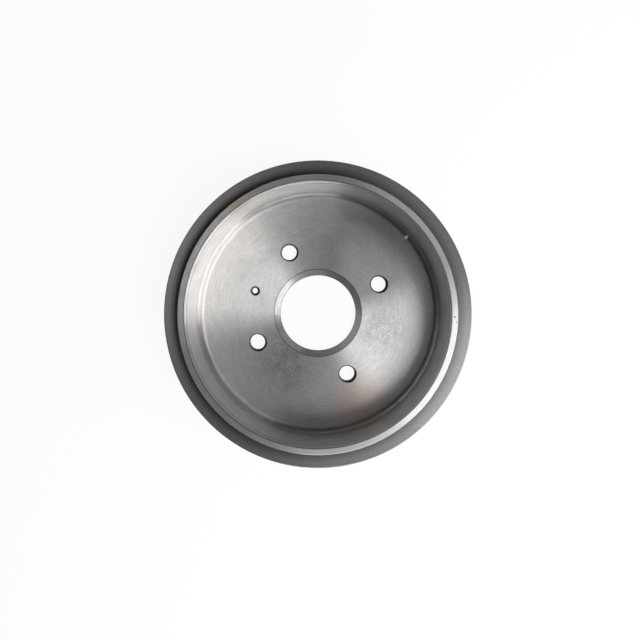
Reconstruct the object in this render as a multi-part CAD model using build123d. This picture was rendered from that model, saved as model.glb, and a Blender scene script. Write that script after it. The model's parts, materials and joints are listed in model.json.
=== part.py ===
from build123d import *

import math
import os

# Brake drum, one grey iron casting that is turned on its inside, its lip and its wheel face.
# It lies on its wheel face, with the open side up. The axis of the drum is Z, the origin is
# the centre of the wheel face, and all sizes are in millimetres and degrees.

# Friction ring, the wall that the brake shoes press against
friction_radius = 101.6
friction_width = 31.0
ring_wall = 6.5

# Mouth of the drum: the lip face falls a little outwards, and a steep chamfer leads the shoes in
lead_in_width = 1.5
lead_in_depth = 3.0
lip_fall = 0.35
lip_edge_chamfer = 0.6

# Relief between the friction band and the floor, where the turning tool runs out
relief_step = 0.6
relief_length = 14.0
corner_radius = 6.0

# Web, the closed side that is clamped between the hub and the wheel
web_thickness = 8.0
pad_height = 1.5
pad_land = 19.0
pad_edge_chamfer = 0.6
shoulder_radius = 12.0

# Barrel and the flange that stiffens it near the mouth
barrel_draft = 1.5
flange_setback = 10.0
flange_thickness = 6.0
flange_reach = 12.9
flange_edge_chamfer = 0.9
flange_root_radius = 3.0

# Centre bore that sits on the hub's pilot
bore_radius = 32.2
bore_inner_chamfer_width = 4.9
bore_inner_chamfer_depth = 3.2
bore_outer_chamfer = 0.8

# Holes for the wheel studs
stud_circle_radius = 57.15
stud_count = 4
stud_hole_radius = 6.5
stud_hole_chamfer = 1.0
first_stud_angle = 45.0

# Tapped hole for a jacking screw, midway between two stud holes. Its wall is the thread's
# outer diameter
jack_radius = 3.0
jack_chamfer = 0.8
jack_angle = 180.0

# Levels and radii that follow from the sizes above
floor_level = web_thickness
cavity_depth = lead_in_depth + friction_width + relief_length
mouth_level = floor_level + cavity_depth
band_top = mouth_level - lead_in_depth
band_bottom = band_top - friction_width
lip_inner_radius = friction_radius + lead_in_width
lip_outer_radius = friction_radius + ring_wall
lip_outer_level = mouth_level - lip_fall
relief_radius = friction_radius + relief_step
flange_top = mouth_level - flange_setback
flange_bottom = flange_top - flange_thickness
flange_radius = lip_outer_radius + flange_reach
pad_radius = stud_circle_radius + pad_land
barrel_drop = flange_bottom - pad_height
barrel_foot_radius = lip_outer_radius - barrel_drop * math.tan(math.radians(barrel_draft))

SHARP = 0.0


def drum_section():
    """Half section of the drum on the XZ plane, as (radius, level, corner radius) in order."""
    corners = [
        # Wheel face and the pad that the wheel is clamped on
        (bore_radius, bore_outer_chamfer, SHARP),
        (bore_radius + bore_outer_chamfer, 0.0, SHARP),
        (pad_radius - pad_edge_chamfer, 0.0, SHARP),
        (pad_radius, pad_edge_chamfer, SHARP),
        (pad_radius, pad_height, SHARP),
        # Cast shoulder, drafted barrel and flange
        (barrel_foot_radius, pad_height, shoulder_radius),
        (lip_outer_radius, flange_bottom, flange_root_radius),
        (flange_radius - flange_edge_chamfer, flange_bottom, SHARP),
        (flange_radius, flange_bottom + flange_edge_chamfer, SHARP),
        (flange_radius, flange_top - flange_edge_chamfer, SHARP),
        (flange_radius - flange_edge_chamfer, flange_top, SHARP),
        (lip_outer_radius, flange_top, SHARP),
        # Lip and the chamfer that leads into the friction band
        (lip_outer_radius, lip_outer_level - lip_edge_chamfer, SHARP),
        (lip_outer_radius - lip_edge_chamfer, lip_outer_level, SHARP),
        (lip_inner_radius, mouth_level, SHARP),
        (friction_radius, band_top, SHARP),
        # Friction band, relief, rounded corner and floor
        (friction_radius, band_bottom, SHARP),
        (relief_radius, band_bottom - relief_step, SHARP),
        (relief_radius, floor_level, corner_radius),
        (bore_radius + bore_inner_chamfer_width, floor_level, SHARP),
        (bore_radius, floor_level - bore_inner_chamfer_depth, SHARP),
    ]
    points = [(radius, level) for radius, level, _ in corners]
    roundings = [rounding for _, _, rounding in corners]
    with BuildSketch(Plane.XZ) as section:
        with BuildLine():
            FilletPolyline(*points, radius=roundings, close=True)
        make_face()
    return section.sketch


def web_hole(radius, chamfer_size):
    """Cutter for a hole through the web, with the same chamfer at the wheel face and the floor."""
    mouth = radius + chamfer_size
    with BuildSketch(Plane.XZ) as section:
        with BuildLine():
            Polyline(
                (0.0, 0.0),
                (mouth, 0.0),
                (radius, chamfer_size),
                (radius, floor_level - chamfer_size),
                (mouth, floor_level),
                (0.0, floor_level),
                close=True,
            )
        make_face()
    return revolve(section.sketch, Axis.Z)


def stud_places():
    """Where the stud holes are, evenly spaced on their circle."""
    return PolarLocations(stud_circle_radius, stud_count, start_angle=first_stud_angle)


def jack_place():
    """Where the tapped hole is, on the circle of the stud holes."""
    return PolarLocations(stud_circle_radius, 1, start_angle=jack_angle)


def brake_drum():
    """The whole casting: the turned ring of iron with its stud holes and its tapped hole."""
    drum = revolve(drum_section(), Axis.Z)
    stud_hole = web_hole(stud_hole_radius, stud_hole_chamfer)
    drum -= [place * stud_hole for place in stud_places()]
    jack_hole = web_hole(jack_radius, jack_chamfer)
    drum -= [place * jack_hole for place in jack_place()]
    return drum


os.makedirs("parts", exist_ok=True)
export_step(brake_drum(), "parts/brake_drum.step")
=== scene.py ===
# %% [markdown]
# # A turned brake drum
# The real object is one grey iron casting. A lathe has cut its inside, its lip and the face that the
# wheel sits on, and the rest keeps the skin that the sand mould gave it. The solid is already made, so
# this lesson is about finish: four kinds of iron surface on one piece, a thread, a torn pip, a camera
# that looks straight down, and the light that draws bright fans on a turned face.

# %% Load the solid model, the fixed frame that everything here follows
import json
import math

import bpy
from mathutils import Matrix, Vector


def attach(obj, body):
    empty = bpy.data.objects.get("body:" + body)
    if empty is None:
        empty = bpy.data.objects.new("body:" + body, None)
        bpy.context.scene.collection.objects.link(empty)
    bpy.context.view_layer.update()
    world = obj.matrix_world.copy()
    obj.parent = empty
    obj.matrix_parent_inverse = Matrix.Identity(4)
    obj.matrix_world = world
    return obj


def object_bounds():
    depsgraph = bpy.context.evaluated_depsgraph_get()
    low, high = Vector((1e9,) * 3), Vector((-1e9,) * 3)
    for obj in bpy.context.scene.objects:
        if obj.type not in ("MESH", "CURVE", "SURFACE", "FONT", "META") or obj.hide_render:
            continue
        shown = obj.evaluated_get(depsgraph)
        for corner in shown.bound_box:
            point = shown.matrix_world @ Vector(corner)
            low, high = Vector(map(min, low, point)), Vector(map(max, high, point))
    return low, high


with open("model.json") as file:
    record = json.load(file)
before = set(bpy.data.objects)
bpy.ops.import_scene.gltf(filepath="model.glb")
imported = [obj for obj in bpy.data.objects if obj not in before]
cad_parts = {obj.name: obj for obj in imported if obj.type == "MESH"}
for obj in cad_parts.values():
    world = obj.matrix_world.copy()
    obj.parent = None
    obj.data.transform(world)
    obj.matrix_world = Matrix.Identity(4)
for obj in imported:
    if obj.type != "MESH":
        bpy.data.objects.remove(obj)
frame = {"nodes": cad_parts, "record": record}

cad_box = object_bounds()
drum = frame["nodes"]["brake_drum"]
print("drum:", len(drum.data.polygons), "facets, box in metres", cad_box)

# %% [markdown]
# The frame is in metres and the drawing of a drum is in millimetres, so sizes below are written in
# millimetres and turned to metres in one place. The main ones are read from the record of the part,
# which keeps the finish in step with the solid. The others are those of the drawing.

# %% Sizes of the drum
MM = 0.001
mounts = {mount["name"]: mount for mount in frame["record"]["mounts"]}


def mount_size(name, size):
    """A size of a mount in millimetres."""
    return mounts[name]["dims"][size]


def mount_level(name):
    """The height of a mount above the wheel face, in millimetres."""
    return mounts[name]["pos_m"][2] / MM


bore_radius = mount_size("centre_bore", "r_mm")
friction_radius = mount_size("friction_wall", "r_mm")
floor_level = mount_level("hub_face")
mouth_level = cad_box[1][2] / MM

lead_in_width = 1.5
lead_in_depth = 3.0
lip_width = 5.0
flange_below_mouth = 10.0
pad_radius = 76.15
bore_chamfer_width = 4.9
bore_chamfer_depth = 3.2

lip_inner_radius = friction_radius + lead_in_width
lip_outer_radius = lip_inner_radius + lip_width
band_top = mouth_level - lead_in_depth
flange_top = mouth_level - flange_below_mouth
print(f"mouth {mouth_level:.1f} mm up, floor {floor_level:.1f} mm up, lip radius {lip_outer_radius:.1f} mm")

# %% [markdown]
# The drum is seen straight down, from close by: the floor looks smaller than the mouth, and because the
# lens is not over the axis its centre sits a little off. The picture is a crop, so a small shift of the
# lens, and no lean, puts the drum in the middle. The camera's turn puts the stud holes in their places.

# %% Camera
picture_size = 640
focal_pixels = 582.2
sensor_width = 36.0
camera_height = 446.9
camera_right = 1.67
camera_up = 13.55
turn = 19.42
shift_pixels = -23.0
nearest_seen = 0.01

camera_data = bpy.data.cameras.new("picture_camera")
camera_data.sensor_width = sensor_width
camera_data.lens = focal_pixels / picture_size * sensor_width
camera_data.shift_y = shift_pixels / picture_size
camera_data.clip_start = nearest_seen
camera = bpy.data.objects.new("picture_camera", camera_data)
bpy.context.scene.collection.objects.link(camera)
bpy.context.scene.camera = camera


def picture_direction(degrees):
    """The direction on the table that the picture shows at that angle, counted from its right side."""
    angle = math.radians(turn + degrees)
    return Vector((math.cos(angle), math.sin(angle), 0.0))


def picture_point(degrees, distance, height):
    """The point that the picture shows at that angle, so far from the axis and so high."""
    return picture_direction(degrees) * distance + Vector((0.0, 0.0, height))


RIGHT, UP = 0.0, 90.0
over_the_drum = picture_direction(RIGHT) * camera_right + picture_direction(UP) * camera_up
camera.location = (over_the_drum + Vector((0.0, 0.0, mouth_level + camera_height))) * MM
camera.rotation_euler = (0.0, 0.0, math.radians(turn))
print("camera:", [round(x, 4) for x in camera.location], "lens", round(camera_data.lens, 2), "mm")

# %% [markdown]
# Every colour is chosen as it looks on a screen, and Blender wants it as an amount of light, so one
# function turns a hex value to linear. One more function adds a node, which keeps each material short
# enough to read as a list of steps.

# %% Colour and node helpers
def colour(hex_value):
    """An sRGB hex value as linear red, green, blue and alpha."""
    channels = [int(hex_value[i:i + 2], 16) / 255 for i in (1, 3, 5)]
    linear = [c / 12.92 if c <= 0.04045 else ((c + 0.055) / 1.055) ** 2.4 for c in channels]
    return (*linear, 1.0)


def add_node(owner, kind, inputs=None, **settings):
    """Adds a shader node to a material or a world, makes its settings, and links or fills its inputs."""
    tree = owner.node_tree
    node = tree.nodes.new("ShaderNode" + kind)
    for name, value in settings.items():
        setattr(node, name, value)
    for name, value in (inputs or {}).items():
        if isinstance(value, bpy.types.NodeSocket):
            tree.links.new(value, node.inputs[name])
        else:
            node.inputs[name].default_value = value
    return node


def new_material(name):
    """An empty node material with its output node."""
    material = bpy.data.materials.new(name)
    material.use_nodes = True
    material.node_tree.nodes.clear()
    output = add_node(material, "OutputMaterial")
    return material, output


print("a middle grey of #808080 is", round(colour("#808080")[0], 3), "of full light")

# %% [markdown]
# The tapped hole needs its thread. A tap leaves one spiral ridge that stands in from the hole's wall, so
# the ridge is made as it is cut: a small tapered profile, carried round the hole and up by a Screw
# modifier. The solid has a plain wall at the thread's outer diameter, and the ridge is set into it.

# %% Thread of the tapped hole
thread_pitch = 1.0
thread_depth = 0.54
thread_set_in = 0.08
ridge_root_width = 0.87
ridge_crest_width = 0.25
thread_steps_per_turn = 48
thread_smooth_angle = 25
jack_radius = mount_size("jack_hole", "r_mm")
jack_chamfer = (floor_level - mount_size("jack_hole", "length_mm")) / 2
jack_x = mounts["jack_hole"]["pos_m"][0]
ridge_depth = thread_depth + thread_set_in
ridge_middle = jack_radius + thread_set_in - ridge_depth / 2
thread_bottom = jack_chamfer + ridge_root_width / 2
thread_top = floor_level - thread_bottom
thread_turns = (thread_top - thread_bottom) / thread_pitch

bpy.ops.object.select_all(action="DESELECT")
bpy.ops.mesh.primitive_plane_add(size=1.0, location=(jack_x, 0.0, thread_bottom * MM))
thread = bpy.context.active_object
thread.name = "tapped_thread"
hole_axis = thread.location.copy()

# Stand the profile up, give it the ridge's depth and width, and move it out to the wall
bpy.ops.object.mode_set(mode="EDIT")
bpy.ops.transform.rotate(value=math.radians(90), orient_axis="X", center_override=hole_axis)
bpy.ops.transform.resize(value=(ridge_depth * MM, 1.0, ridge_root_width * MM))
bpy.ops.transform.translate(value=(ridge_middle * MM, 0.0, 0.0))
# Narrow the side that points at the axis down to the crest
bpy.ops.mesh.select_all(action="DESELECT")
bpy.ops.object.mode_set(mode="OBJECT")
for corner in thread.data.vertices:
    corner.select = corner.co.x < ridge_middle * MM
bpy.ops.object.mode_set(mode="EDIT")
bpy.ops.transform.resize(value=(1.0, 1.0, ridge_crest_width / ridge_root_width))
bpy.ops.object.mode_set(mode="OBJECT")

spiral = thread.modifiers.new("spiral", "SCREW")
spiral.angle = 2 * math.pi * thread_turns
spiral.screw_offset = (thread_top - thread_bottom) * MM
spiral.steps = spiral.render_steps = round(thread_steps_per_turn * thread_turns)
bpy.ops.object.modifier_apply(modifier=spiral.name)

# Close both ends, point the faces outwards, and put the object's origin back
bpy.ops.object.mode_set(mode="EDIT")
bpy.ops.mesh.select_all(action="DESELECT")
bpy.ops.mesh.select_mode(type="EDGE")
bpy.ops.mesh.select_non_manifold()
bpy.ops.mesh.fill_holes(sides=0)
bpy.ops.mesh.select_all(action="SELECT")
bpy.ops.mesh.normals_make_consistent(inside=False)
bpy.ops.mesh.select_mode(type="VERT")
bpy.ops.object.mode_set(mode="OBJECT")
bpy.ops.object.transform_apply(location=True, rotation=True, scale=True)
bpy.ops.object.shade_smooth_by_angle(angle=math.radians(thread_smooth_angle))
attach(thread, "root")
print(f"thread: {thread_turns:.1f} turns, {len(thread.data.polygons)} faces")

# %% [markdown]
# Where the wall meets the floor the photo shows one small raised fleck. It is a pip of iron that the tool
# tore and pushed aside. A ball is flattened, roughened at random with a fixed seed, and half sunk.

# %% Pip in the corner
pip_angle = 40.7
pip_distance = 98.6
pip_rise = 0.55
pip_size = (2.0, 1.3, 0.75)
pip_roughness = 0.28
pip_evenness = 0.4
pip_seed = 7
pip_lean = 24.0

bpy.ops.object.select_all(action="DESELECT")
bpy.ops.mesh.primitive_ico_sphere_add(subdivisions=3, radius=MM)
pip = bpy.context.active_object
pip.name = "corner_pip"
bpy.ops.object.mode_set(mode="EDIT")
bpy.ops.transform.resize(value=pip_size)
bpy.ops.transform.vertex_random(offset=pip_roughness * MM, uniform=pip_evenness, seed=pip_seed)
bpy.ops.object.mode_set(mode="OBJECT")
rounding = pip.modifiers.new("rounding", "SUBSURF")
rounding.levels = rounding.render_levels = 1
bpy.ops.object.modifier_apply(modifier=rounding.name)
pip.rotation_euler = (0.0, math.radians(-pip_lean), math.radians(turn + pip_angle))
pip.location = picture_point(pip_angle, pip_distance, floor_level + pip_rise) * MM
bpy.ops.object.transform_apply(location=True, rotation=True, scale=True)
bpy.ops.object.shade_smooth()
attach(pip, "root")
pip_middle = sum((vertex.co for vertex in pip.data.vertices), Vector()) / len(pip.data.vertices)
print("pip:", len(pip.data.polygons), "faces, at", [round(x, 4) for x in pip_middle])

# %% [markdown]
# The table is a plain pale sheet. The camera, and mirrors in the metal, see it as white, and a share of
# ordinary white paint in the mix keeps the soft shadow under the drum. Any other ray meets the paint
# alone, so the sheet lights the iron no more than paper would.

# %% Table
table_half_width = 3.0
table_paint = "#F4F4F3"
shadow_share = 0.08
WHITE = (1.0, 1.0, 1.0, 1.0)

bpy.ops.object.select_all(action="DESELECT")
bpy.ops.mesh.primitive_plane_add(size=2 * table_half_width)
table = bpy.context.active_object
table.name = "table"

table_sheet, output = new_material("white_paper_sheet")
paint = add_node(table_sheet, "BsdfDiffuse", {"Color": colour(table_paint)})
glow = add_node(table_sheet, "Emission", {"Color": WHITE, "Strength": 1.0})
paper = add_node(table_sheet, "MixShader", {0: shadow_share, 1: glow.outputs[0], 2: paint.outputs[0]})
path = add_node(table_sheet, "LightPath").outputs
seen = add_node(table_sheet, "Math", {0: path["Is Camera Ray"], 1: path["Is Glossy Ray"]},
                operation="MAXIMUM")
seen = add_node(table_sheet, "Math", {0: seen.outputs[0], 1: path["Is Transmission Ray"]},
                operation="MAXIMUM")
shown = add_node(table_sheet, "MixShader", {0: seen.outputs[0], 1: paint.outputs[0], 2: paper.outputs[0]})
table_sheet.node_tree.links.new(shown.outputs[0], output.inputs["Surface"])
table.data.materials.append(table_sheet)
print("table:", table_half_width * 2, "m wide")

# %% [markdown]
# A lathe leaves fine rings. Each ring mirrors the light across itself, so a turned face shows two bright
# fans: one that points at the lamp and one that points away, each as wide as the lamp looks from the
# axis. A broad lamp stands high on the right and draws the fans. A wider, lower one beside it reaches the
# wall under the lip, and one as low at the bottom of the picture brightens the opposite wall. Three weak
# ones, at the bottom, at the upper right and overhead, light the rest of the floor. The room is white
# to the camera, but gives the iron little light of its own, which leaves the shadow beside the lip deep.

# %% Lamps and room
lamps = {
    # name: (picture angle, height, distance from the axis, width, depth, power)
    "key_softbox": (-26.0, 0.87, 0.49, 0.60, 0.46, 5.1),
    "side_softbox": (-26.0, 0.36, 0.93, 0.95, 0.26, 9.2),
    "bottom_softbox": (-78.0, 0.26, 0.97, 0.75, 0.20, 4.6),
    "bottom_fill": (-80.0, 0.87, 0.50, 0.50, 0.40, 0.85),
    "upper_fill": (45.0, 0.82, 0.57, 0.45, 0.45, 1.1),
    "overhead_fill": (-22.0, 0.98, 0.20, 0.40, 0.25, 0.42),
}
room_light = 0.04

for name, (angle, height, distance, width, depth, power) in lamps.items():
    lamp_data = bpy.data.lights.new(name, "AREA")
    lamp_data.shape = "RECTANGLE"
    lamp_data.size = width
    lamp_data.size_y = depth
    lamp_data.energy = power
    lamp = bpy.data.objects.new(name, lamp_data)
    bpy.context.scene.collection.objects.link(lamp)
    lamp.location = picture_point(angle, distance, height)
    aim = Vector((0.0, 0.0, floor_level * MM)) - lamp.location
    lamp.rotation_euler = aim.to_track_quat("-Z", "Y").to_euler()

world = bpy.data.worlds.new("room")
bpy.context.scene.world = world
world.use_nodes = True
background = world.node_tree.nodes["Background"]
background.inputs["Color"].default_value = WHITE
room_seen = add_node(world, "LightPath").outputs["Is Camera Ray"]
room_strength = add_node(world, "Math", {0: room_seen, 1: room_light}, operation="MAXIMUM").outputs[0]
world.node_tree.links.new(room_strength, background.inputs["Strength"])
print("lamps:", ", ".join(lamps))

# %% [markdown]
# The drum is one piece of iron with four finishes, so it gets one material that knows where it is. It
# measures the distance from the axis and the height, both in millimetres, and asks of each point: was
# this turned on the lathe, was it drilled, is it the flange's face, which had one coarse cut, or is it
# still as cast? Each answer is a mask of ones and zeros. A little slack keeps a face inside its mask.

# %% Iron: where on the drum
slack = 0.05
fine_slack = 0.02
wall_reach = friction_radius + 2.7
lip_reach = lip_outer_radius + 0.2

iron, output = new_material("grey_cast_iron")
place = add_node(iron, "TexCoord")
in_mm = add_node(iron, "VectorMath", {0: place.outputs["Object"], "Scale": 1 / MM},
                 operation="SCALE").outputs[0]
level = add_node(iron, "SeparateXYZ", {0: in_mm}).outputs["Z"]
across = add_node(iron, "VectorMath", {0: in_mm, 1: (1.0, 1.0, 0.0)}, operation="MULTIPLY").outputs[0]
radius = add_node(iron, "VectorMath", {0: across}, operation="LENGTH").outputs["Value"]
around = add_node(iron, "VectorMath", {0: across}, operation="NORMALIZE").outputs[0]

# Inside: above the floor, and nearer the axis than the wall, or than the edge of the lip higher up
above_floor = add_node(iron, "Math", {0: level, 1: floor_level - slack}, operation="GREATER_THAN").outputs[0]
above_flange = add_node(iron, "Math", {0: level, 1: flange_top + slack}, operation="GREATER_THAN").outputs[0]
reach = add_node(iron, "Math", {0: above_flange, 1: lip_reach - wall_reach, 2: wall_reach},
                 operation="MULTIPLY_ADD").outputs[0]
within_reach = add_node(iron, "Math", {0: radius, 1: reach}, operation="LESS_THAN").outputs[0]
inside = add_node(iron, "Math", {0: above_floor, 1: within_reach}, operation="MULTIPLY").outputs[0]
# Wheel pad underneath, and the bore with both of its chamfers
within_pad = add_node(iron, "Math", {0: radius, 1: pad_radius + slack}, operation="LESS_THAN").outputs[0]
below_web = add_node(iron, "Math", {0: level, 1: slack}, operation="LESS_THAN").outputs[0]
pad = add_node(iron, "Math", {0: within_pad, 1: below_web}, operation="MULTIPLY").outputs[0]
bore = add_node(iron, "Math", {0: radius, 1: bore_radius + bore_chamfer_width + fine_slack},
                operation="LESS_THAN").outputs[0]
turned = add_node(iron, "Math", {0: inside, 1: pad}, operation="MAXIMUM").outputs[0]
turned = add_node(iron, "Math", {0: turned, 1: bore}, operation="MAXIMUM").outputs[0]
# What is left inside the pad's radius and under the floor is a hole's wall or countersink
below_floor = add_node(iron, "Math", {0: level, 1: floor_level - slack}, operation="LESS_THAN").outputs[0]
drilled = add_node(iron, "Math", {0: within_pad, 1: below_floor}, operation="MULTIPLY").outputs[0]
print(f"turned inside {wall_reach:.1f} mm, and inside {lip_reach:.1f} mm at the lip")

# %% [markdown]
# The lathe's marks run round the axis. Radius plus height grows steadily all the way out across the floor
# and up the wall, so it is a ruler along the path that the tool took. Noise along that ruler gives rings.
# Real feed marks are about 0.2 mm apart, too fine to show here, so the rings are drawn 1 mm apart.

# %% Iron: rings, streaks and grain
rings_per_mm = 1.0
streaks_per_mm = 0.9
arcs_around = (7.0, 7.0, 7.0)
grains_per_mm = 0.8
patches_per_mm = 0.085
noise_range = {"From Min": 0.3, "From Max": 0.7}

tool_path = add_node(iron, "Math", {0: radius, 1: level}, operation="ADD").outputs[0]
rings = add_node(iron, "TexNoise", {"W": tool_path, "Scale": rings_per_mm, "Detail": 3.0, "Roughness": 0.7},
                 noise_dimensions="1D").outputs["Fac"]
# Streaks: the same rings, each broken into arcs of ten degrees or so
along_path = add_node(iron, "CombineXYZ", {"Z": tool_path}).outputs[0]
arcs = add_node(iron, "VectorMath", {0: around, 1: arcs_around, 2: along_path},
                operation="MULTIPLY_ADD").outputs[0]
streaks = add_node(iron, "TexNoise", {"Vector": arcs, "Scale": streaks_per_mm, "Detail": 3.0,
                                      "Roughness": 0.6}).outputs["Fac"]
# Grain: flakes of graphite torn out by the tool, under 0.5 mm in fact, drawn 1.2 mm across
grain = add_node(iron, "TexNoise", {"Vector": in_mm, "Scale": grains_per_mm, "Detail": 2.0,
                                    "Roughness": 0.6}).outputs["Fac"]
# Mottle: patches of a centimetre or so where the finish is a little finer or duller
mottle = add_node(iron, "TexNoise", {"Vector": in_mm, "Scale": patches_per_mm, "Detail": 3.0,
                                     "Roughness": 0.55, "Distortion": 0.4}).outputs["Fac"]
print(f"rings {1 / rings_per_mm:.1f} mm apart, grain {1 / grains_per_mm:.2f} mm, "
      f"patches {1 / patches_per_mm:.0f} mm")

# %% [markdown]
# A turned edge is never quite sharp: a hair of burr and a little dirt stay on it, and from above they show
# as thin dark lines. The ruler along the tool's path finds each edge with one number, so a line is a
# narrow band of the ruler round that number.

# %% Iron: edge lines
edge_half_width = 0.42
edge_line_margin = 1.0
turned_edges = {
    "bore, inner": bore_radius + floor_level - bore_chamfer_depth,
    "bore, floor": bore_radius + bore_chamfer_width + floor_level,
    "lead-in, band": friction_radius + band_top,
    "lead-in, lip": lip_inner_radius + mouth_level,
}
edge_lines = 0.0
for edge in turned_edges.values():
    line = add_node(iron, "Math", {0: tool_path, 1: edge, 2: edge_half_width}, operation="COMPARE").outputs[0]
    edge_lines = add_node(iron, "Math", {0: edge_lines, 1: line}, operation="MAXIMUM").outputs[0]
# The ruler gives the same numbers again on the underside and on the lip's outer side, so those are left out
on_top = add_node(iron, "Math", {0: level, 1: floor_level / 2}, operation="GREATER_THAN").outputs[0]
not_outside = add_node(iron, "Math", {0: radius, 1: lip_inner_radius + edge_line_margin},
                       operation="LESS_THAN").outputs[0]
edge_lines = add_node(iron, "Math", {0: edge_lines, 1: on_top}, operation="MULTIPLY").outputs[0]
edge_lines = add_node(iron, "Math", {0: edge_lines, 1: not_outside}, operation="MULTIPLY").outputs[0]
print("edge lines:", "; ".join(turned_edges))

# %% [markdown]
# Stains, worn places and pits are found by their distance from a point. So is the dark crescent at the
# lower right of each hole, a painted shadow on the rim that faces away from the lamps. It is a disc a little
# wider than the countersink and moved a little off the hole's axis, so that most of it falls inside the hole.

# %% Iron: stains, worn places, pits and painted shadow at the holes
painted_shadow_angle = -32.0
painted_shadow_reach = 0.85
painted_shadow_softness = 0.25
countersink_width = 1.0
stud_angles = (45, 135, 225, 315)
jack_angle = 180
stud_circle_radius = mount_size("stud_holes", "pcd_mm") / 2
stud_radius = mount_size("stud_holes", "hole_r_mm")


def near(centre, radius_full, radius_gone, fall="SMOOTHSTEP"):
    """A mask that is one near a point and falls to zero farther out, in millimetres."""
    away = add_node(iron, "VectorMath", {0: in_mm, 1: centre}, operation="DISTANCE").outputs["Value"]
    return add_node(iron, "MapRange", {"Value": away, "From Min": radius_gone, "From Max": radius_full},
                    interpolation_type=fall).outputs[0]


# A place is its angle in the picture, distance from the axis and height, then come its core and its edge
floor_stain = near(picture_point(-66.0, 84.0, floor_level), 5.0, 32.0)
lip_stain = near(picture_point(127.0, 105.0, mouth_level), 2.0, 18.0)
worn = add_node(iron, "Math", {0: near(picture_point(232.0, 50.0, floor_level), 4.0, 40.0),
                               1: near(picture_point(-14.0, 56.0, floor_level), 4.0, 32.0)},
                operation="MAXIMUM").outputs[0]
pits = add_node(iron, "Math", {0: near(picture_point(-1.0, 105.3, mouth_level), 0.4, 0.9),
                               1: near(picture_point(-3.1, 107.0, mouth_level), 0.3, 0.8)},
                operation="MAXIMUM").outputs[0]

holes = [(angle, stud_circle_radius, stud_radius) for angle in stud_angles]
holes.append((jack_angle, abs(jack_x) / MM, jack_radius))
# Painted shadow: a dark crescent at the rim of each hole on the lamps' side
hole_painted_shadow = 0.0
for angle, distance, hole_radius in holes:
    hole = Matrix.Rotation(math.radians(angle), 3, "Z") @ Vector((distance, 0.0, floor_level))
    rim = hole_radius + countersink_width
    painted_shadow_crescent = near(hole + picture_direction(painted_shadow_angle) * painted_shadow_reach, rim - painted_shadow_softness, rim + painted_shadow_softness,
                    fall="LINEAR")
    hole_painted_shadow = add_node(iron, "Math", {0: hole_painted_shadow, 1: painted_shadow_crescent}, operation="MAXIMUM").outputs[0]
print("oil at", len(holes), "holes")

# %% [markdown]
# A turned face is rougher across the rings than along them, and small patches of it vary. The form tool
# that cuts the round corner leaves it finer at its foot, and finer again where it turns into the wall, and
# from above those show as thin bright lines. Between them a dark grey band is painted into the colour: a
# painted reflection of the shaded wall that the middle of the round mirrors.

# %% Iron: the round corner, and how rough the turned faces are
wall_relief = 0.6
corner_radius = 6.0
corner_start = friction_radius + wall_relief - corner_radius
wall_fade_start = corner_radius + 0.5
wall_fade_end = 4.0
face_roughness = 0.36
foot_roughness = 0.31
turn_roughness = 0.29
foot_width = 1.4
turn_start, turn_end = 3.2, 5.0
# Where the painted reflection of the wall lies in the round
reflection_band_start, reflection_band_full = 1.4, 2.4
reflection_band_fade, reflection_band_end = 3.9, 4.9
roughness_spread = 0.02

below_wall = add_node(iron, "MapRange", {"Value": level, "From Min": floor_level + wall_fade_start,
                                         "From Max": floor_level + wall_fade_end}).outputs[0]
foot = add_node(iron, "MapRange", {"Value": radius, "From Min": corner_start,
                                   "From Max": corner_start + foot_width,
                                   "To Min": face_roughness, "To Max": foot_roughness}).outputs[0]
corner_roughness = add_node(iron, "MapRange", {"Value": radius, "From Min": corner_start + turn_start,
                                               "From Max": corner_start + turn_end,
                                               "To Min": foot, "To Max": turn_roughness}).outputs[0]
turned_roughness = add_node(iron, "MapRange", {"Value": below_wall, "To Min": face_roughness,
                                               "To Max": corner_roughness}).outputs[0]
patchiness = add_node(iron, "MapRange", {"Value": mottle, **noise_range, "To Min": -roughness_spread,
                                         "To Max": roughness_spread}).outputs[0]
turned_roughness = add_node(iron, "Math", {0: turned_roughness, 1: patchiness}, operation="ADD").outputs[0]

# Painted reflection: a dark band in the middle of the round, where it mirrors the shaded wall
corner_painted_reflection = add_node(iron, "MapRange", {"Value": radius, "From Min": corner_start + reflection_band_start,
                                          "From Max": corner_start + reflection_band_full}).outputs[0]
reflection_band_edge = add_node(iron, "MapRange", {"Value": radius, "From Min": corner_start + reflection_band_end,
                                        "From Max": corner_start + reflection_band_fade}).outputs[0]
corner_painted_reflection = add_node(iron, "Math", {0: corner_painted_reflection, 1: reflection_band_edge}, operation="MULTIPLY").outputs[0]
print(f"the corner's round starts {corner_start:.1f} mm from the axis")

# %% [markdown]
# Freshly turned iron is a pale grey with a touch of warmth. The streaks shift it a little from ring to
# ring, torn grain puts dark specks in it, and the mottle clouds it. Where the surface is worn the grain
# is torn deeper, so specks and clouds are stronger there. Then every mask above lays its own tint over it:
# the stains, pits and edge lines, and two marks of painted light, the dark band in the corner's round, a
# painted reflection, and the dark crescent at each hole, a painted shadow.

# %% Iron: colour of the turned faces
ring_greys = ("#B3B1AF", "#C3C1C0")
speck_range = {"From Min": 0.32, "From Max": 0.60}
speck_dark, speck_dark_worn, speck_light = 0.92, 0.66, 1.04
cloud_range = {"From Min": 0.35, "From Max": 0.65}
cloud_dark, cloud_dark_worn, cloud_light = 0.96, 0.80, 1.05
lip_fall = 1.2

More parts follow.
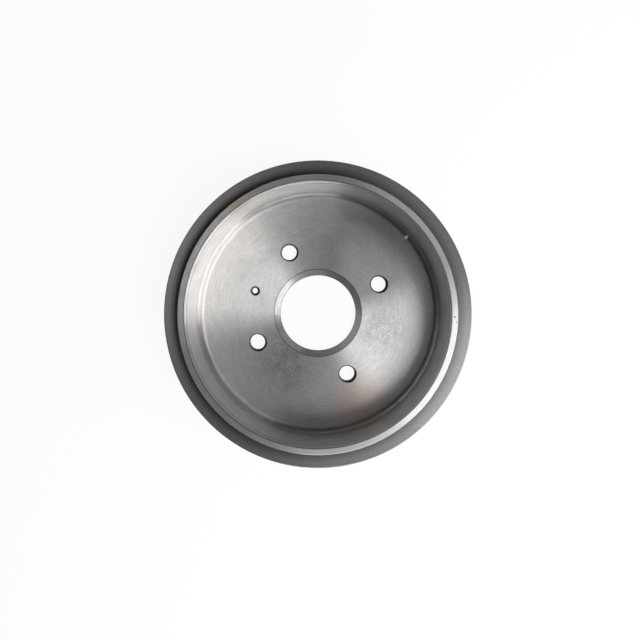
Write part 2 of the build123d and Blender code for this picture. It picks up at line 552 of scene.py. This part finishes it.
streak_amount = add_node(iron, "MapRange", {"Value": streaks, **noise_range}).outputs[0]
turned_colour = add_node(iron, "Mix", {0: streak_amount, 6: colour(ring_greys[0]), 7: colour(ring_greys[1])},
                         data_type="RGBA").outputs[2]
speck_depth = add_node(iron, "MapRange", {"Value": worn, "To Min": speck_dark,
                                          "To Max": speck_dark_worn}).outputs[0]
speckle = add_node(iron, "MapRange", {"Value": grain, **speck_range, "To Min": speck_depth,
                                      "To Max": speck_light}).outputs[0]
cloud_depth = add_node(iron, "MapRange", {"Value": worn, "To Min": cloud_dark,
                                          "To Max": cloud_dark_worn}).outputs[0]
cloud = add_node(iron, "MapRange", {"Value": mottle, **cloud_range, "To Min": cloud_depth,
                                    "To Max": cloud_light}).outputs[0]
speckle = add_node(iron, "Math", {0: speckle, 1: cloud}, operation="MULTIPLY").outputs[0]
turned_colour = add_node(iron, "Mix", {0: 1.0, 6: turned_colour, 7: speckle}, data_type="RGBA",
                         blend_type="MULTIPLY").outputs[2]

on_lip = add_node(iron, "Math", {0: level, 1: mouth_level - lip_fall}, operation="GREATER_THAN").outputs[0]
tints = (
    # where, how much, which colour
    # painted reflection: the dark band in the corner's round
    (corner_painted_reflection, 0.60, "#5A5958"),
    (on_lip, 0.35, "#8C8A88"),
    (bore, 0.35, "#8C8A88"),
    (floor_stain, 0.55, "#B39C94"),
    (lip_stain, 0.40, "#B3A48C"),
    (edge_lines, 0.65, "#2E2C2A"),
    (pits, 0.90, "#1E1C1A"),
    # painted shadow: the dark crescent at each hole
    (hole_painted_shadow, 0.90, "#12110F"),
)
for mask, strength, tint in tints:
    amount = add_node(iron, "Math", {0: mask, 1: strength}, operation="MULTIPLY").outputs[0]
    turned_colour = add_node(iron, "Mix", {0: amount, 6: turned_colour, 7: colour(tint)},
                             data_type="RGBA").outputs[2]
print("turned colour:", len(tints), "tints over greys", *ring_greys)

# %% [markdown]
# The relief of rings and grain fades towards the corner, where the form tool burnished it away. The mesh
# turns the corner in small flats, and each would flash by itself in so fine a finish. So in the corner the
# shading takes the true direction of the round, towards the circle that the corner is struck from.

# %% Iron: relief of the turned faces
relief_strength = 0.22
ring_height = 0.05
grain_height = 0.06
burnish_width = 3.0

burnished = add_node(iron, "MapRange", {"Value": radius, "From Min": corner_start - burnish_width,
                                        "From Max": corner_start}).outputs[0]
burnished = add_node(iron, "Math", {0: burnished, 1: below_wall}, operation="MULTIPLY").outputs[0]
relief_left = add_node(iron, "MapRange", {"Value": burnished, "To Min": relief_strength,
                                          "To Max": 0.0}).outputs[0]

from_struck = add_node(iron, "Math", {0: corner_start, 1: radius}, operation="SUBTRACT").outputs[0]
under_struck = add_node(iron, "Math", {0: floor_level + corner_radius, 1: level},
                        operation="SUBTRACT").outputs[0]
inwards = add_node(iron, "VectorMath", {0: around, "Scale": from_struck}, operation="SCALE").outputs[0]
upwards = add_node(iron, "CombineXYZ", {"Z": under_struck}).outputs[0]
struck = add_node(iron, "VectorMath", {0: inwards, 1: upwards}, operation="ADD").outputs[0]
struck = add_node(iron, "VectorMath", {0: struck}, operation="NORMALIZE").outputs[0]
past_floor = add_node(iron, "Math", {0: from_struck, 1: 0.0}, operation="LESS_THAN").outputs[0]
under_wall = add_node(iron, "Math", {0: under_struck, 1: 0.0}, operation="GREATER_THAN").outputs[0]
in_round = add_node(iron, "Math", {0: past_floor, 1: under_wall}, operation="MULTIPLY").outputs[0]
plain = add_node(iron, "NewGeometry").outputs["Normal"]
true_normal = add_node(iron, "Mix", {0: in_round, 4: plain, 5: struck}, data_type="VECTOR").outputs[1]

ring_bump = add_node(iron, "Bump", {"Height": rings, "Strength": relief_left, "Distance": ring_height * MM,
                                    "Normal": true_normal}).outputs[0]
turned_bump = add_node(iron, "Bump", {"Height": grain, "Strength": relief_left,
                                      "Distance": grain_height * MM, "Normal": ring_bump}).outputs[0]
print(f"relief: rings {ring_height} mm, grain {grain_height} mm, at a strength of {relief_strength}")

# %% [markdown]
# Now the shader. Iron is a metal, and it mirrors the lamps stretched across the rings, which is what draws
# the fans. The shader calls that anisotropy, and a tangent that circles Z tells it which way the rings
# run. Between the rings lie torn grain and graphite, which scatter light all ways, so a share of a dull,
# even iron is mixed in. The lip has been handled and stacked, and has more of it.

# %% Iron: turned finish
ring_anisotropy = 1.0
quarter_turn = 0.25
scattering_roughness = 0.62
scattering_share = 0.12
lip_scattering_share = 0.32

tangent = add_node(iron, "Tangent", direction_type="RADIAL", axis="Z").outputs[0]
mirroring_iron = add_node(iron, "BsdfPrincipled", {
    "Base Color": turned_colour,
    "Metallic": 1.0,
    "Roughness": turned_roughness,
    "Anisotropic": ring_anisotropy,
    "Anisotropic Rotation": quarter_turn,
    "Normal": turned_bump,
    "Tangent": tangent,
}).outputs[0]
scattering_iron = add_node(iron, "BsdfPrincipled", {
    "Base Color": turned_colour,
    "Metallic": 1.0,
    "Roughness": scattering_roughness,
    "Normal": turned_bump,
}).outputs[0]
scattering = add_node(iron, "MapRange", {"Value": on_lip, "To Min": scattering_share,
                                         "To Max": lip_scattering_share}).outputs[0]
turned_iron = add_node(iron, "MixShader", {0: scattering, 1: mirroring_iron, 2: scattering_iron}).outputs[0]
print("turned iron:", len(iron.node_tree.nodes), "nodes so far")

# %% [markdown]
# The barrel and the outside of the web keep the skin of the mould: matt, darker, and as grainy as the sand
# that the iron was poured in. The walls of the drilled holes are painted dark grey, as shade. The drill's
# countersink keeps a grey, except on its side that faces away from the lamps, which is painted black as
# shadow.

# %% Iron: cast and drilled finish
skin_grains_per_mm = 1.1
skin_height = 0.12
skin_strength = 0.5
skin_roughness = 0.6
skin_greys = ("#696866", "#7A7977")
hole_painted_shade_grey = "#33312F"
countersink_grey = "#7C7A78"
painted_shadow_black = "#0E0D0C"
shaded_side_range = {"From Min": -0.2, "From Max": 0.5}

skin = add_node(iron, "TexNoise", {"Vector": in_mm, "Scale": skin_grains_per_mm, "Detail": 3.0,
                                   "Roughness": 0.65}).outputs["Fac"]
skin_amount = add_node(iron, "MapRange", {"Value": skin, **noise_range}).outputs[0]
cast_colour = add_node(iron, "Mix", {0: skin_amount, 6: colour(skin_greys[0]), 7: colour(skin_greys[1])},
                       data_type="RGBA").outputs[2]
# Painted shade: the walls of the holes are drawn dark grey
cast_colour = add_node(iron, "Mix", {0: drilled, 6: cast_colour, 7: colour(hole_painted_shade_grey)},
                       data_type="RGBA").outputs[2]
# Painted shadow: the side of a countersink that faces away from the lamps is drawn black
facing_from_lamps = add_node(iron, "VectorMath", {0: place.outputs["Normal"], 1: -picture_direction(painted_shadow_angle)},
                    operation="DOT_PRODUCT").outputs["Value"]
shaded_side = add_node(iron, "MapRange", {"Value": facing_from_lamps, **shaded_side_range}).outputs[0]
countersink_lit_and_shaded = add_node(iron, "Mix", {0: shaded_side, 6: colour(countersink_grey), 7: colour(painted_shadow_black)},
                       data_type="RGBA").outputs[2]
sink_level = floor_level - countersink_width - fine_slack
countersunk = add_node(iron, "Math", {0: level, 1: sink_level}, operation="GREATER_THAN").outputs[0]
countersunk = add_node(iron, "Math", {0: countersunk, 1: drilled}, operation="MULTIPLY").outputs[0]
cast_colour = add_node(iron, "Mix", {0: countersunk, 6: cast_colour, 7: countersink_lit_and_shaded},
                       data_type="RGBA").outputs[2]
cast_bump = add_node(iron, "Bump", {"Height": skin, "Strength": skin_strength,
                                    "Distance": skin_height * MM}).outputs[0]
cast_iron = add_node(iron, "BsdfPrincipled", {
    "Base Color": cast_colour,
    "Metallic": 1.0,
    "Roughness": skin_roughness,
    "Normal": cast_bump,
}).outputs[0]
print(f"cast iron: skin grain {1 / skin_grains_per_mm:.1f} mm")

# %% [markdown]
# The flange's face had one coarse cut to true it up. It is nearly as dark as the casting, but the rings
# in it still draw a fan. The lip's shadow is painted on it as well: darker next to the lip, clearing away
# from it.

# %% Iron: the flange's face
flange_greys = ("#727170", "#838281")
flange_roughness = 0.50
flange_anisotropy = 0.85
flange_strength = 0.25
# Painted shadow of the lip: how far out it reaches, and how dark it is
lip_shadow_start, lip_shadow_end = 110.0, 117.0
lip_shadow_dark, lip_shadow_light = 0.50, 1.05
flange_edge = 1.0

flange_colour = add_node(iron, "Mix", {0: skin_amount, 6: colour(flange_greys[0]),
                                       7: colour(flange_greys[1])}, data_type="RGBA").outputs[2]
# Painted shadow of the lip: the colour darkens towards the lip
painted_lip_shadow = add_node(iron, "MapRange", {"Value": radius, "From Min": lip_shadow_start, "From Max": lip_shadow_end,
                                     "To Min": lip_shadow_dark, "To Max": lip_shadow_light}).outputs[0]
flange_colour = add_node(iron, "Mix", {0: 1.0, 6: flange_colour, 7: painted_lip_shadow}, data_type="RGBA",
                         blend_type="MULTIPLY").outputs[2]
flange_bump = add_node(iron, "Bump", {"Height": skin, "Strength": flange_strength,
                                      "Distance": skin_height * MM}).outputs[0]
flange_iron = add_node(iron, "BsdfPrincipled", {
    "Base Color": flange_colour,
    "Metallic": 1.0,
    "Roughness": flange_roughness,
    "Anisotropic": flange_anisotropy,
    "Anisotropic Rotation": quarter_turn,
    "Normal": flange_bump,
    "Tangent": tangent,
}).outputs[0]
on_flange = add_node(iron, "Math", {0: level, 1: flange_top - flange_edge},
                     operation="GREATER_THAN").outputs[0]
print(f"flange face at {flange_top:.1f} mm up, groove out to {lip_shadow_end:.0f} mm")

# %% [markdown]
# The masks now choose between the finishes: the flange's face over the casting, and the turned iron over
# both. The thread was cut in the same iron, so it takes the same material and counts as drilled.

# %% Iron: put together
rough_iron = add_node(iron, "MixShader", {0: on_flange, 1: cast_iron, 2: flange_iron}).outputs[0]
all_iron = add_node(iron, "MixShader", {0: turned, 1: rough_iron, 2: turned_iron}).outputs[0]
iron.node_tree.links.new(all_iron, output.inputs["Surface"])
drum.material_slots[0].material = iron
thread.data.materials.append(iron)
print("iron:", len(iron.node_tree.nodes), "nodes")

# %% [markdown]
# The pip was torn and not cut, so it has no rings. Its fresh broken grain is pale and scatters light all
# ways, which is why such a small thing is seen against the darker floor.

# %% Iron: the torn pip
torn_grey = "#ECE9E4"
torn_roughness = 0.55

torn_iron, output = new_material("freshly_torn_iron")
torn = add_node(torn_iron, "BsdfPrincipled", {"Base Color": colour(torn_grey), "Metallic": 1.0,
                                              "Roughness": torn_roughness}).outputs[0]
torn_iron.node_tree.links.new(torn, output.inputs["Surface"])
pip.data.materials.append(torn_iron)
print("pip: colour", torn_grey)

# %% [markdown]
# Last, the picture is shown as the light falls, with no film look over it.

# %% View settings
bpy.context.scene.view_settings.view_transform = "Standard"
